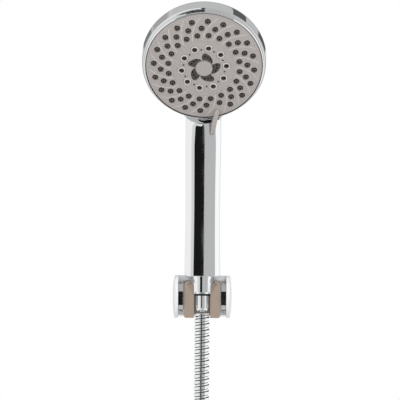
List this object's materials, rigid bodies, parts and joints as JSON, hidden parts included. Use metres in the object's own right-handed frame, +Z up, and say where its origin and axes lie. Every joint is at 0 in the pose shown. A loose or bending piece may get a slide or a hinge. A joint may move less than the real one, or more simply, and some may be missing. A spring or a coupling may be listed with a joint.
{
  "type": "handheld shower head",
  "caption": "Round handheld shower head on a straight handle, seated in a tilting wall holder, with its metal hose coiled below.",
  "frame": {"origin": "centre of the wall plate's back face, level with the holder's tilt axis", "axes": "+Y into the wall, +Z up along the handle, +X to the right of someone who faces the wall"},
  "size_m": [0.1607, 0.119, 0.6007],
  "materials": {
    "chromed_plastic": "mirror bright chrome plating on moulded plastic",
    "chromed_brass": "mirror bright chrome plating on turned brass",
    "hose_metal": "bright interlocked metal spiral over a plastic tube",
    "face_grey": "warm grey moulded plastic, satin",
    "nozzle_rubber": "dark grey silicone",
    "seal_rubber": "black rubber",
    "inner_plastic": "unpainted moulded plastic",
    "liner_plastic": "beige moulded plastic, satin",
    "fixing_steel": "stainless steel",
    "thread_brass": "turned brass",
    "tie_fabric": "woven strap"
  },
  "bodies": {
    "bracket": {"wall_base": "inner_plastic", "bracket_body": "chromed_plastic", "grub_screw": "fixing_steel", "friction_ring_left": "seal_rubber", "friction_ring_right": "seal_rubber", "pivot_screw_left": "fixing_steel", "pivot_screw_right": "fixing_steel", "end_cap_left": "chromed_plastic", "end_cap_right": "chromed_plastic"},
    "barrel": {"tilt_barrel": "chromed_plastic", "holder_liner": "liner_plastic"},
    "handset": {"body_shell": "chromed_plastic", "bezel_ring": "chromed_plastic", "distributor": "inner_plastic", "face_oring": "seal_rubber", "selector_seal": "seal_rubber", "detent_ball": "fixing_steel", "detent_spring": "fixing_steel", "screw_washer": "fixing_steel", "centre_screw": "fixing_steel", "water_tube": "inner_plastic", "thread_insert": "thread_brass", "tube_oring_1": "seal_rubber", "tube_oring_2": "seal_rubber", "flow_limiter": "seal_rubber", "cone_nut": "chromed_brass", "cone_washer": "seal_rubber", "cone_bush": "seal_rubber", "hose_sleeve": "chromed_brass"},
    "spray_head": {"spray_face": "face_grey", "nozzle_mat": "nozzle_rubber", "massage_insert": "nozzle_rubber", "centre_cap": "face_grey", "turbine_cage": "inner_plastic", "water_plate": "inner_plastic"},
    "rotor": {"turbine": "inner_plastic"},
    "hose_run": {"hose": "hose_metal", "hose_coil": "hose_metal", "coil_tie": "tie_fabric", "hose_tail": "hose_metal", "tap_sleeve": "chromed_brass"},
    "tap_end": {"tap_nut": "chromed_brass", "tap_washer": "seal_rubber"}
  },
  "joints": [
    {"name": "holder_tilt", "type": "hinge", "parent": "bracket", "child": "barrel", "pos_m": [0, -0.048, 0], "axis": [1, 0, 0], "range_deg": [0, 30]},
    {"name": "handset_lift", "type": "slide", "parent": "barrel", "child": "handset", "axis": [0, 0, 1], "range_m": [0, 0.045]},
    {"name": "spray_select", "type": "hinge", "parent": "handset", "child": "spray_head", "pos_m": [0, -0.09191, 0.20359], "axis": [0, -0.8616, -0.5075], "range_deg": [-28, 0]},
    {"name": "turbine_spin", "type": "hinge", "parent": "spray_head", "child": "rotor", "pos_m": [0, -0.09191, 0.20359], "axis": [0, -0.8616, -0.5075], "continuous": true},
    {"name": "hose_swing", "type": "hinge", "parent": "handset", "child": "hose_run", "pos_m": [0, -0.048, -0.0091], "axis": [1, 0, 0], "range_deg": [-30, 0]},
    {"name": "tap_nut_spin", "type": "hinge", "parent": "hose_run", "child": "tap_end", "pos_m": [-0.07, -0.0704, -0.33768], "axis": [0, 0, 1], "continuous": true}
  ],
  "couplings": [
    {"joint": "hose_swing", "follows": "holder_tilt", "ratio": -1}
  ]
}
